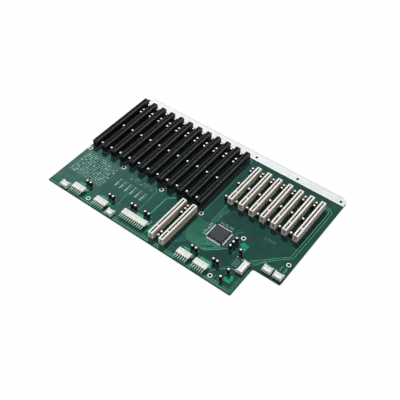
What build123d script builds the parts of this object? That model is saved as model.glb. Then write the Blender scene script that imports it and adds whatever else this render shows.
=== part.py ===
from build123d import *
import os

os.makedirs("parts", exist_ok=True)

# A long passive backplane: a bare board that carries a row of 16-bit edge
# connectors, two processor-card connectors in line with the last of them, and
# a row of 32-bit edge connectors. Power and signal headers stand along the
# front edge. X runs along the row of slots, Y from the front edge to the rear
# edge, Z up. The origin is under the middle of the board, at the level of the
# pin tails that the assembly stands on. Sizes are in millimetres.

# Board
board_thickness = 2.0
tail_drop = 1.5
left_margin = 7.9
right_margin = 25.3
front_margin = 9.3
rear_margin = 19.2
rear_corner_radius = 10.0
notch_width = 47.3
notch_depth = 58.0
ground_strip_depth = 17.3
ground_strip_thickness = 0.1
ground_strip_hole_radius = 2.3
ground_strip_hole_faces = 8

# Mounting holes
mount_hole_radius = 2.0
first_hole_offset = -3.7
isa_hole_offset = 11.6
pci_hole_offset = 16.84
rear_hole_inset = 9.5
middle_hole_gap = 8.2
front_hole_inset = 9.4

# Rows of slots
slot_pitch = 20.32
isa_count = 12
picmg_count = 2
pci_count = 7
isa_to_pci = 35.4
isa_to_picmg_gap = 9.2
pci_rear_setback = 18.3

# 16-bit slot housing
isa_width = 9.0
isa_height = 13.0
isa_length = 138.0
isa_contact_pitch = 2.54
isa_rear_contacts = 31
isa_front_contacts = 18
isa_section_gap = 7.62

# 32-bit slot housing
pci_width = 8.4
pci_height = 13.2
pci_length = 84.84
pci_contact_pitch = 1.27
pci_rear_contacts = 49
pci_front_contacts = 11
pci_section_gap = 3.81

# What both kinds of slot housing share
card_slot_width = 1.8
card_slot_depth = 9.2
card_slot_overrun = 1.6
lead_in_width = 0.7
lead_in_depth = 1.0
housing_chamfer = 0.5
housing_foot_height = 1.0
housing_foot_inset = 0.6
end_recess_depth = 1.4
end_recess_wall = 1.6
end_recess_floor = 1.6
end_recess_lintel = 1.3
peg_radius = 1.15
peg_faces = 6
peg_inset = 3.4
peg_clearance = 0.15

# Capacitors
slot_cap_diameter = 5.2
supply_cap_diameter = 6.3
cap_height = 9.2
cap_faces = 10
pci_gap_offset = -10.2
isa_front_caps = (8.7, 62.5)
isa_rear_caps = (29.7, 21.8, 6.9)
pci_front_caps = (4.6, 39.4)
pci_rear_caps = (11.64, 4.64)
picmg_front_caps = (7.1, 14.7)
picmg_rear_caps = (21.04, 11.74, 4.94)
notch_caps = ((24.2, 29.9), (26.2, 13.0))
chip_side_cap = (8.8, 8.6)

# Bridge chip
chip_body = 28.0
chip_height = 3.4
chip_stand_off = 0.3
chip_draft = 7.0
chip_mark_radius = 1.2
chip_mark_depth = 0.15
chip_mark_inset = 3.4
chip_offset_x = 3.4
chip_offset_y = 25.2
chip_cap_offset = 11.7
chip_cap_rear = 5.6
chip_cap_pitch = 8.4

# Right-angle power headers
header_pitch = 3.96
header_height = 6.6
header_depth = 10.3
header_wall = 3.2
header_plate = 1.8
header_boss_width = 2.4
header_boss_reach = 0.8
header_pin_width = 1.6
header_pin_thickness = 1.1
header_pin_reach = 7.2
header_pin_bend = 1.7
header_cap_gap = 12.0
header_inset = 19.9
long_header_inset = 26.9

# Side-entry wafer headers
wafer_pitch = 2.5
wafer_end_margin = 2.45
wafer_depth = 9.2
wafer_height = 6.2
wafer_shell = 0.8
wafer_back_wall = 2.0
wafer_horn_width = 1.1
wafer_horn_length = 2.3
wafer_horn_drop = 1.0
wafer_window_margin = 1.7
wafer_window_depth = 5.4
wafer_pin = 0.64
wafer_pin_height = 2.9
wafer_pin_set_back = 1.5
wafer_pin_bend = 1.5
wafer_inset = 11.4
side_wafer_gap = 15.4
side_wafer_setback = 9.4
corner_wafer_depth = 13.3
corner_wafer_margin = 9.6
corner_wafer_spacing = 18.6

# Clearance of every pin in its hole in the board
pin_clearance = 0.15


# Places of the slots and of the board's edges
row_length = (isa_count - 1 + pci_count - 1) * slot_pitch + isa_to_pci
board_length = left_margin + row_length + right_margin
board_depth = front_margin + pci_length + isa_to_picmg_gap + isa_length + rear_margin
board_left = -board_length / 2
board_right = board_length / 2
board_front = -board_depth / 2
board_rear = board_depth / 2
board_top = tail_drop + board_thickness
isa_rear = board_rear - rear_margin
isa_front = isa_rear - isa_length
pci_rear = isa_rear - pci_rear_setback
pci_front = pci_rear - pci_length
picmg_front = board_front + front_margin
notch_left = board_right - notch_width
notch_rear = board_front + notch_depth
corner_wafer_x = board_right - corner_wafer_margin


def isa_x(number):
    """Centre line of a 16-bit slot, counted from 1 at the left."""
    return board_left + left_margin + (number - 1) * slot_pitch


def pci_x(number):
    """Centre line of a 32-bit slot, counted from 1 at the left."""
    return isa_x(isa_count) + isa_to_pci + (number - 1) * slot_pitch


def picmg_x(number):
    """The processor-card slots lie in line with the last 16-bit slots."""
    return isa_x(isa_count - picmg_count + number)


# Power headers: pins, centre line, distance of the rear face from the board's
# front edge, and how far right of the centre line its capacitors stand
power_headers = [
    (6, isa_x(3) + 7.2, header_inset, (3.1, 10.2)),
    (6, isa_x(6) - 5.5, header_inset, (3.4, 10.6)),
    (12, isa_x(9) - 2.2, long_header_inset, (-19.9, -12.7, 7.1, 14.4)),
    (6, pci_x(1) + 4.8, header_inset, (2.4, 9.8)),
    (6, pci_x(2) + 15.9, header_inset, (10.6, 17.9)),
]

# Wafer headers: pins, centre of the rear face, and the turn about Z. Unturned,
# the plug goes in from the front
wafer_headers = [
    (5, isa_x(2) + 3.2, board_front + wafer_inset, 0),
    (4, isa_x(7) - 0.3, board_front + wafer_inset, 0),
    (8, notch_left - side_wafer_gap, notch_rear - side_wafer_setback, 90),
    (5, corner_wafer_x - corner_wafer_spacing, notch_rear + corner_wafer_depth, 0),
    (5, corner_wafer_x, notch_rear + corner_wafer_depth, 0),
]

# Capacitors that stand by themselves: three in line beside the chip, one
# further right, and two beside the notch
chip_x = pci_x(2) + chip_offset_x
chip_y = isa_front - chip_offset_y
chip_cap_x = pci_x(3) + chip_cap_offset
lone_caps = [(chip_cap_x, chip_y + chip_cap_rear - n * chip_cap_pitch) for n in range(3)]
lone_caps += [(pci_x(4) + chip_side_cap[0], chip_y - chip_side_cap[1])]
lone_caps += [(notch_left - left, board_front + front) for left, front in notch_caps]


def block(low, high):
    """A box between two opposite corners."""
    size = [b - a for a, b in zip(low, high)]
    middle = [(a + b) / 2 for a, b in zip(low, high)]
    return Pos(*middle) * Box(*size)


def bar_along_y(points, y_low, y_high):
    """An XZ outline drawn out along Y."""
    section = Plane.XZ.offset(-y_low) * Polygon(*points, align=None)
    return extrude(section, -(y_high - y_low))


def bar_along_x(points, x_low, x_high):
    """A YZ outline drawn out along X."""
    section = Plane.YZ.offset(x_low) * Polygon(*points, align=None)
    return extrude(section, x_high - x_low)


def group(solids):
    """Separate solids of one kind, kept in one node."""
    return Compound(children=list(solids))


# Board

def mounting_holes():
    """Centres of all mounting holes, by row: rear, middle and front."""
    columns = [isa_x(1) + first_hole_offset]
    columns += [isa_x(n) + isa_hole_offset for n in (4, 8, 12)]
    columns += [pci_x(n) + pci_hole_offset for n in (3, 7)]
    rear = [(x, board_rear - rear_hole_inset) for x in columns]
    middle = [(x, isa_front - middle_hole_gap) for x in columns]
    front = [(columns[i], board_front + front_hole_inset) for i in (1, 4)]
    return rear, middle, front


def peg_places():
    """Where the locating pegs of the 32-bit housings pass the board."""
    reach = pci_length / 2 - peg_inset
    rows = [(picmg_x(n), picmg_front + pci_length / 2) for n in range(1, picmg_count + 1)]
    rows += [(pci_x(n), pci_front + pci_length / 2) for n in range(1, pci_count + 1)]
    return [(x, y + side * reach) for x, y in rows for side in (-1, 1)]


def tail_holes():
    """Clearance holes for the tails of all header pins."""
    height = board_thickness
    cuts = []
    for pins, x, inset, _ in power_headers:
        wide = header_pin_width + 2 * pin_clearance
        deep = header_pin_thickness + 2 * pin_clearance
        y = board_front + inset + header_pin_bend - header_pin_thickness / 2
        for dx in pin_offsets(pins, header_pitch):
            cuts.append(Pos(x + dx, y, tail_drop + height / 2) * Box(wide, deep, height))
    side = wafer_pin + 2 * pin_clearance
    for pins, x, y, turn in wafer_headers:
        for dx in pin_offsets(pins, wafer_pitch):
            hole = Pos(dx, wafer_pin_bend - wafer_pin / 2, 0) * Box(side, side, height)
            cuts.append(Pos(x, y, tail_drop + height / 2) * Rot(0, 0, turn) * hole)
    return cuts


def board_plate(front, thickness):
    """The plate behind a given line, with its rounded rear corners."""
    plate = block((board_left, front, 0), (board_right, board_rear, thickness))
    corners = plate.edges().filter_by(Axis.Z).group_by(Axis.Y)[-1]
    return fillet(corners, rear_corner_radius)


def make_board():
    board = Pos(0, 0, tail_drop) * board_plate(board_front, board_thickness)
    board -= block((notch_left, board_front, tail_drop), (board_right, notch_rear, board_top))
    rear, middle, front = mounting_holes()
    level = tail_drop + board_thickness / 2
    cuts = [Pos(x, y, level) * Cylinder(mount_hole_radius, board_thickness)
            for x, y in rear + middle + front]
    peg_hole = extrude(RegularPolygon(peg_radius + peg_clearance, peg_faces), board_thickness)
    cuts += [Pos(x, y, tail_drop) * peg_hole for x, y in peg_places()]
    return board - cuts - tail_holes()


def make_ground_strip():
    """The bare tinned ground land along the rear edge, which the card brackets' rail meets."""
    strip = Pos(0, 0, board_top) * board_plate(board_rear - ground_strip_depth, ground_strip_thickness)
    hole = extrude(RegularPolygon(ground_strip_hole_radius, ground_strip_hole_faces), ground_strip_thickness)
    return strip - [Pos(x, y, board_top) * hole for x, y in mounting_holes()[0]]


# Slot housings

def slot_housing(width, length, height, sections):
    """A moulded housing centred on its slot; sections are the card slots' ends along Y."""
    half = width / 2
    foot = half - housing_foot_inset
    shoulder = height - housing_chamfer
    crown = half - housing_chamfer
    outline = [(-foot, 0), (foot, 0), (foot, housing_foot_height), (half, housing_foot_height),
               (half, shoulder), (crown, height), (-crown, height), (-half, shoulder),
               (-half, housing_foot_height), (-foot, housing_foot_height)]
    housing = bar_along_y(outline, -length / 2, length / 2)
    slit = card_slot_width / 2
    mouth = slit + lead_in_width
    floor = height - card_slot_depth
    throat = height - lead_in_depth
    funnel = [(-slit, floor), (slit, floor), (slit, throat), (mouth, height),
              (-mouth, height), (-slit, throat)]
    for low, high in sections:
        housing -= bar_along_y(funnel, low - card_slot_overrun, high + card_slot_overrun)
    side = half - end_recess_wall
    for end in (-1, 1):
        outer = end * length / 2
        inner = outer - end * end_recess_depth
        housing -= block((-side, min(outer, inner), end_recess_floor),
                         (side, max(outer, inner), height - end_recess_lintel))
    return housing


def sections_of(front_contacts, rear_contacts, pitch, gap):
    """First and last contact of the front and of the rear section, centred on the housing."""
    front_span = (front_contacts - 1) * pitch
    rear_span = (rear_contacts - 1) * pitch
    start = -(front_span + gap + rear_span) / 2
    middle = start + front_span + gap
    return [(start, start + front_span), (middle, middle + rear_span)]


def isa_housing():
    sections = sections_of(isa_front_contacts, isa_rear_contacts, isa_contact_pitch, isa_section_gap)
    return slot_housing(isa_width, isa_length, isa_height, sections)


def pci_housing():
    sections = sections_of(pci_front_contacts, pci_rear_contacts, pci_contact_pitch, pci_section_gap)
    housing = slot_housing(pci_width, pci_length, pci_height, sections)
    reach = pci_length / 2 - peg_inset
    peg = extrude(RegularPolygon(peg_radius, peg_faces), -(board_thickness + tail_drop))
    return housing + [Pos(0, side * reach, 0) * peg for side in (-1, 1)]


# Capacitors

def capacitor(x, y, diameter):
    """A sleeved can, many-sided because there are over a hundred of them."""
    return Pos(x, y, board_top) * extrude(RegularPolygon(diameter / 2, cap_faces), cap_height)


def cap_column(x, front, length, front_rows, rear_rows):
    """Places of capacitors along a slot, counted from its front end and from its rear end."""
    rows = [front + row for row in front_rows]
    rows += [front + length - row for row in rear_rows]
    return [(x, y) for y in rows]


def slot_caps():
    """One column of capacitors in each gap between slots."""
    places = []
    for n in range(1, isa_count):
        x = isa_x(n) + slot_pitch / 2
        places += cap_column(x, isa_front, isa_length, isa_front_caps, isa_rear_caps)
    for n in range(1, pci_count + 1):
        x = pci_x(n) + pci_gap_offset
        places += cap_column(x, pci_front, pci_length, pci_front_caps, pci_rear_caps)
    x = (picmg_x(1) + picmg_x(2)) / 2
    places += cap_column(x, picmg_front, pci_length, picmg_front_caps, picmg_rear_caps)
    return group(capacitor(x, y, slot_cap_diameter) for x, y in places)


def supply_caps():
    """The larger capacitors behind the power headers, by the chip and by the notch."""
    places = list(lone_caps)
    for _, x, inset, offsets in power_headers:
        places += [(x + dx, board_front + inset + header_cap_gap) for dx in offsets]
    return group(capacitor(x, y, supply_cap_diameter) for x, y in places)


# Bridge chip

def make_chip():
    """A flat moulded body with drafted sides, which meet at the lead plane."""
    half_height = chip_height / 2
    outline = Rectangle(chip_body, chip_body)
    body = extrude(outline, half_height, taper=chip_draft)
    body += extrude(outline, -half_height, taper=chip_draft)
    mark = chip_body / 2 - chip_mark_inset
    body -= Pos(-mark, -mark, half_height) * Cylinder(chip_mark_radius, 2 * chip_mark_depth)
    return Pos(chip_x, chip_y, board_top + chip_stand_off + half_height) * body


# Headers

def pin_offsets(count, pitch):
    """Places of evenly spaced pins about their middle."""
    return [(i - (count - 1) / 2) * pitch for i in range(count)]


def power_housing(pins):
    """A rear wall that the pins pass through, with a locking plate over the pins."""
    half = pins * header_pitch / 2
    under = header_height - header_plate
    outline = [(0, 0), (0, header_height), (-header_depth, header_height),
               (-header_depth, under), (-header_wall, under), (-header_wall, 0)]
    housing = bar_along_x(outline, -half, half)
    boss = header_boss_width / 2
    slit = header_pin_width / 2
    for dx in pin_offsets(pins, header_pitch):
        housing += block((dx - boss, -header_depth - header_boss_reach, under),
                         (dx + boss, -header_depth, header_height))
        housing -= block((dx - slit, -header_wall, 0), (dx + slit, 0, under))
    return housing


def power_pins(pins):
    """Square-bent pins: forward under the plate, and down through the board behind the wall."""
    top = header_height - header_plate
    low = top - header_pin_thickness
    tip = -header_depth - header_boss_reach - header_pin_reach
    rear = header_pin_bend
    inner = rear - header_pin_thickness
    end = -board_thickness - tail_drop
    outline = [(tip, low), (inner, low), (inner, end), (rear, end), (rear, top), (tip, top)]
    pin = bar_along_x(outline, -header_pin_width / 2, header_pin_width / 2)
    return group(Pos(dx, 0, 0) * pin for dx in pin_offsets(pins, header_pitch))


def wafer_half_width(pins):
    return (pins - 1) * wafer_pitch / 2 + wafer_end_margin


def wafer_housing(pins):
    """A shrouded housing, open at the front, with two horns beside the bent pins."""
    half = wafer_half_width(pins)
    housing = block((-half, -wafer_depth, 0), (half, 0, wafer_height))
    housing -= block((-half + wafer_shell, -wafer_depth, wafer_shell),
                     (half - wafer_shell, -wafer_back_wall, wafer_height - wafer_shell))
    window = half - wafer_window_margin
    housing -= block((-window, -wafer_depth, wafer_height - wafer_shell),
                     (window, -wafer_depth + wafer_window_depth, wafer_height))
    horn = [(0, 0), (wafer_horn_length, 0), (wafer_horn_length, wafer_height - wafer_horn_drop),
            (0, wafer_height)]
    housing += bar_along_x(horn, -half, -half + wafer_horn_width)
    housing += bar_along_x(horn, half - wafer_horn_width, half)
    slit = wafer_pin / 2
    for dx in pin_offsets(pins, wafer_pitch):
        housing -= block((dx - slit, -wafer_back_wall, 0), (dx + slit, 0, wafer_pin_height + wafer_pin))
    return housing


def wafer_pins(pins):
    low = wafer_pin_height
    top = low + wafer_pin
    tip = -wafer_depth + wafer_pin_set_back
    rear = wafer_pin_bend
    inner = rear - wafer_pin
    end = -board_thickness - tail_drop
    outline = [(tip, low), (inner, low), (inner, end), (rear, end), (rear, top), (tip, top)]
    pin = bar_along_x(outline, -wafer_pin / 2, wafer_pin / 2)
    return group(Pos(dx, 0, 0) * pin for dx in pin_offsets(pins, wafer_pitch))


def place(shape, x, y, turn=0):
    """Stands a shape on the board, each solid of a group by itself."""
    location = Pos(x, y, board_top) * Rot(0, 0, turn)
    if isinstance(shape, Compound) and shape.children:
        return group(location * solid for solid in shape.children)
    return location * shape


def assemble():
    """Every node of the part, by name."""
    nodes = {
        "main_board": make_board(),
        "rear_ground_strip": make_ground_strip(),
        "bridge_chip": make_chip(),
        "slot_capacitors": slot_caps(),
        "supply_capacitors": supply_caps(),
    }
    isa = isa_housing()
    for n in range(1, isa_count + 1):
        nodes[f"isa_slot_{n:02d}"] = place(isa, isa_x(n), isa_front + isa_length / 2)
    pci = pci_housing()
    for n in range(1, picmg_count + 1):
        nodes[f"processor_slot_{n}"] = place(pci, picmg_x(n), picmg_front + pci_length / 2)
    for n in range(1, pci_count + 1):
        nodes[f"pci_slot_{n}"] = place(pci, pci_x(n), pci_front + pci_length / 2)
    for n, (pins, x, inset, _) in enumerate(power_headers, 1):
        nodes[f"power_header_{n}"] = place(power_housing(pins), x, board_front + inset)
        nodes[f"power_header_pins_{n}"] = place(power_pins(pins), x, board_front + inset)
    for n, (pins, x, y, turn) in enumerate(wafer_headers, 1):
        nodes[f"wafer_header_{n}"] = place(wafer_housing(pins), x, y, turn)
        nodes[f"wafer_header_pins_{n}"] = place(wafer_pins(pins), x, y, turn)
    return nodes


for name, shape in assemble().items():
    export_step(shape, f"parts/{name}.step")
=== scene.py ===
import math
import random
from itertools import product

import bmesh
import bpy
from mathutils import Matrix, Vector


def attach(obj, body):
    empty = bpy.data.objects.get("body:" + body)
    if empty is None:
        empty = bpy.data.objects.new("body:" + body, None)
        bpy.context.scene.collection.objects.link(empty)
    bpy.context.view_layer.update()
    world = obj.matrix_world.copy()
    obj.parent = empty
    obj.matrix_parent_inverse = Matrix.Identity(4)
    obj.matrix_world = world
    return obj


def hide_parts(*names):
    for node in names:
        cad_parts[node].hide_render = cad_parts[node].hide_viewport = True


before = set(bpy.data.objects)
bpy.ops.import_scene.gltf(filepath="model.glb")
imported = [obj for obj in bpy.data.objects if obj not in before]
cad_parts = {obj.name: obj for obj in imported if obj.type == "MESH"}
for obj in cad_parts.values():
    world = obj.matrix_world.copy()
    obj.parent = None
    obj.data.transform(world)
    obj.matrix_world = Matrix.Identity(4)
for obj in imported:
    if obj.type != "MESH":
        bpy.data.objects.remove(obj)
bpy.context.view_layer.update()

# Sizes and places are in millimetres in the part's frame, and turned to metres when a mesh
# is made. The scales of textures and bumps, and the reach of the floor's shade, are in metres.
MM = 0.001

# Sizes shared with the solids
BOARD_LEFT, BOARD_RIGHT = -207.02, 207.02
BOARD_FRONT, BOARD_REAR = -130.27, 130.27
BOARD_LOW, BOARD_TOP = 1.5, 3.5
NOTCH_LEFT, NOTCH_REAR = 159.72, -72.27
PITCH = 20.32
ISA_X = [-199.12 + n * PITCH for n in range(12)]
PCI_X = [59.8 + n * PITCH for n in range(7)]
PICMG_X = [4.08, 24.4]
ISA_REAR, ISA_LENGTH, ISA_WIDTH, ISA_HEIGHT = 111.07, 138.0, 9.0, 13.0
PCI_REAR, PCI_LENGTH, PCI_WIDTH, PCI_HEIGHT = 92.77, 84.84, 8.4, 13.2
ISA_FRONT = ISA_REAR - ISA_LENGTH
PCI_FRONT = PCI_REAR - PCI_LENGTH
PICMG_FRONT = -120.97
IVORY_SLOTS = [(x, PICMG_FRONT) for x in PICMG_X] + [(x, PCI_FRONT) for x in PCI_X]
ISA_STEP, PCI_STEP, POWER_STEP, WAFER_STEP = 2.54, 1.27, 3.96, 2.5
CHIP_X, CHIP_Y, CHIP_SIZE = 83.52, -52.13, 28.0
HOLE_X = [-202.82, -126.56, -45.28, 36.0, 117.28, 198.56]
HOLE_REAR, HOLE_MIDDLE, HOLE_FRONT = 120.77, -35.13, -120.87
HOLE_RADIUS = 1.97
# Power headers: ways, place across, and distance behind the board's front edge
POWER = [(6, -151.28, 19.9), (6, -103.02, 19.9), (12, -38.76, 26.9), (6, 64.6, 19.9), (6, 96.02, 19.9)]
# Signal headers: ways, place and turn
WAFERS = [(5, -175.6, -118.87, 0), (4, -77.5, -118.87, 0), (8, 144.32, -81.67, 90),
          (5, 178.82, -58.97, 0), (5, 197.42, -58.97, 0)]

# Levels of the thin layers over the board's top, lowest first
POUR_Z, POUR_OVER_Z, TRACK_Z, TRACK_OVER_Z, PRINT_Z = (
    BOARD_TOP + up for up in (0.03, 0.045, 0.06, 0.075, 0.09))
HOLE_Z = BOARD_TOP + 0.12


# Colours and materials

def linear(r, g, b):
    """An sRGB colour of 0 to 255, as the shader wants it."""
    out = []
    for c in (r, g, b):
        c /= 255
        out.append(c / 12.92 if c <= 0.04045 else ((c + 0.055) / 1.055) ** 2.4)
    return (*out, 1.0)


def new_material(name, rough, metallic=0.0, specular=0.5):
    mat = bpy.data.materials.new(name)
    mat.use_nodes = True
    shader = mat.node_tree.nodes["Principled BSDF"]
    shader.inputs["Roughness"].default_value = rough
    shader.inputs["Metallic"].default_value = metallic
    shader.inputs["Specular IOR Level"].default_value = specular
    return mat, mat.node_tree, shader


def noise(tree, scale, detail=3.0, rough=0.5, stretch=None):
    """A noise texture laid over the object in metres."""
    coords = tree.nodes.new("ShaderNodeTexCoord")
    tex = tree.nodes.new("ShaderNodeTexNoise")
    tex.inputs["Scale"].default_value = scale
    tex.inputs["Detail"].default_value = detail
    tex.inputs["Roughness"].default_value = rough
    source = coords.outputs["Object"]
    if stretch:
        mapping = tree.nodes.new("ShaderNodeMapping")
        mapping.inputs["Scale"].default_value = stretch
        tree.links.new(source, mapping.inputs["Vector"])
        source = mapping.outputs["Vector"]
    tree.links.new(source, tex.inputs["Vector"])
    return tex.outputs["Fac"]


def ramp(tree, source, stops):
    """A colour ramp with its stops at the given places."""
    node = tree.nodes.new("ShaderNodeValToRGB")
    items = node.color_ramp.elements
    while len(items) < len(stops):
        items.new(0.5)
    for item, (place, colour) in zip(items, stops):
        item.position = place
        item.color = linear(*colour)
    tree.links.new(source, node.inputs["Fac"])
    return node.outputs["Color"]


def bump(tree, shader, grain, strength=0.35, depth=0.00002, detail=2.0):
    """A fine grain in the surface."""
    node = tree.nodes.new("ShaderNodeBump")
    node.inputs["Strength"].default_value = strength
    node.inputs["Distance"].default_value = depth
    tree.links.new(noise(tree, grain, detail), node.inputs["Height"])
    tree.links.new(node.outputs["Normal"], shader.inputs["Normal"])


def patches(tree, scale, low, high):
    """Two close tones in soft patches."""
    return ramp(tree, noise(tree, scale), [(0.35, low), (0.65, high)])


def mottled(name, low, high, rough, scale, metallic=0.0, specular=0.5, grain=2500.0, **relief):
    """Moulded or plated stuff: two close tones in soft patches, and a fine grain."""
    mat, tree, shader = new_material(name, rough, metallic, specular)
    tree.links.new(patches(tree, scale, low, high), shader.inputs["Base Color"])
    bump(tree, shader, grain, **relief)
    return mat


def moulded(name, low, high, rough, scale, specular):
    """Moulded plastic with a close grain."""
    return mottled(name, low, high, rough, scale, specular=specular, grain=3500.0)


def under_mask(name, low, high, scale, rough=0.5):
    """Copper as it shows through the solder mask."""
    return mottled(name, low, high, rough, scale, specular=0.15)


def math_node(tree, operation, a, b=None):
    node = tree.nodes.new("ShaderNodeMath")
    node.operation = operation
    for socket, value in zip(node.inputs, (a, b)):
        if value is None:
            continue
        if isinstance(value, (int, float)):
            socket.default_value = value
        else:
            tree.links.new(value, socket)
    return node.outputs[0]


def one_axis(tree, source, axis):
    node = tree.nodes.new("ShaderNodeSeparateXYZ")
    tree.links.new(source, node.inputs["Vector"])
    return node.outputs[axis]


def ranged(tree, source, low, high, out_low=0.0, out_high=1.0):
    """A value turned from one range to another."""
    node = tree.nodes.new("ShaderNodeMapRange")
    for socket, value in zip(("From Min", "From Max", "To Min", "To Max"), (low, high, out_low, out_high)):
        node.inputs[socket].default_value = value
    tree.links.new(source, node.inputs["Value"])
    return node.outputs["Result"]


def along_board(tree, stops):
    """A colour ramp that runs from the board's left end to its right end."""
    coords = tree.nodes.new("ShaderNodeTexCoord")
    across = one_axis(tree, coords.outputs["Object"], "X")
    return ramp(tree, ranged(tree, across, BOARD_LEFT * MM, BOARD_RIGHT * MM), stops)


def multiplied(tree, first, second):
    mixed = tree.nodes.new("ShaderNodeMix")
    mixed.data_type = "RGBA"
    mixed.blend_type = "MULTIPLY"
    mixed.inputs["Factor"].default_value = 1.0
    tree.links.new(first, mixed.inputs["A"])
    tree.links.new(second, mixed.inputs["B"])
    return mixed.outputs["Result"]


def board_material():
    """Solder mask over woven glass, with a painted sheen that makes it paler to the left, and the cut edges
    darker.
    """
    mat, tree, shader = new_material("board_mask", 0.5, 0.0, 0.15)
    painted_light_ramp = along_board(tree, [
        (0.0, (68, 109, 99)), (0.25, (53, 92, 86)), (0.5, (38, 78, 72)), (0.72, (31, 67, 63)),
        (1.0, (30, 74, 62))])
    cloud = ramp(tree, noise(tree, 60.0, 4.0), [(0.3, (225, 225, 225)), (0.7, (255, 255, 255))])
    geometry = tree.nodes.new("ShaderNodeNewGeometry")
    upright = math_node(tree, "ABSOLUTE", one_axis(tree, geometry.outputs["Normal"], "Z"))
    flat = math_node(tree, "GREATER_THAN", upright, 0.5)
    fibre = ramp(tree, noise(tree, 1500.0, 2.0, 0.5, (1, 1, 8)), [(0.3, (28, 52, 42)), (0.7, (52, 80, 62))])
    sides = tree.nodes.new("ShaderNodeMix")
    sides.data_type = "RGBA"
    tree.links.new(flat, sides.inputs["Factor"])
    tree.links.new(fibre, sides.inputs["A"])
    tree.links.new(multiplied(tree, painted_light_ramp, cloud), sides.inputs["B"])
    tree.links.new(sides.outputs["Result"], shader.inputs["Base Color"])
    bump(tree, shader, 900.0, 0.25, detail=3.0)
    return mat


def pin_material():
    """Tin plate with a painted green reflection of the board, strongest toward the front tips."""
    mat, tree, shader = new_material("pin_tin_painted_board_reflection", 0.36, 0.6)
    coords = tree.nodes.new("ShaderNodeTexCoord")
    along = ramp(tree, one_axis(tree, coords.outputs["Generated"], "Y"), [
        (0.0, (150, 190, 171)), (0.12, (188, 218, 204)), (0.3, (255, 255, 255))])
    plate = patches(tree, 700.0, (178, 206, 192), (214, 231, 221))
    tree.links.new(multiplied(tree, along, plate), shader.inputs["Base Color"])
    bump(tree, shader, 2500.0)
    return mat


def strip_material():
    """Bare tinned land, with painted light that makes it a little whiter toward the left."""
    mat, tree, shader = new_material("tinned_land", 0.42, 0.3)
    painted_light_ramp = along_board(tree, [
        (0.0, (254, 254, 254)), (0.25, (250, 250, 250)), (0.5, (245, 247, 248)),
        (0.75, (236, 241, 242)), (1.0, (226, 232, 233))])
    cloud = patches(tree, 120.0, (246, 246, 246), (255, 255, 255))
    tree.links.new(multiplied(tree, painted_light_ramp, cloud), shader.inputs["Base Color"])
    bump(tree, shader, 1800.0)
    return mat


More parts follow.
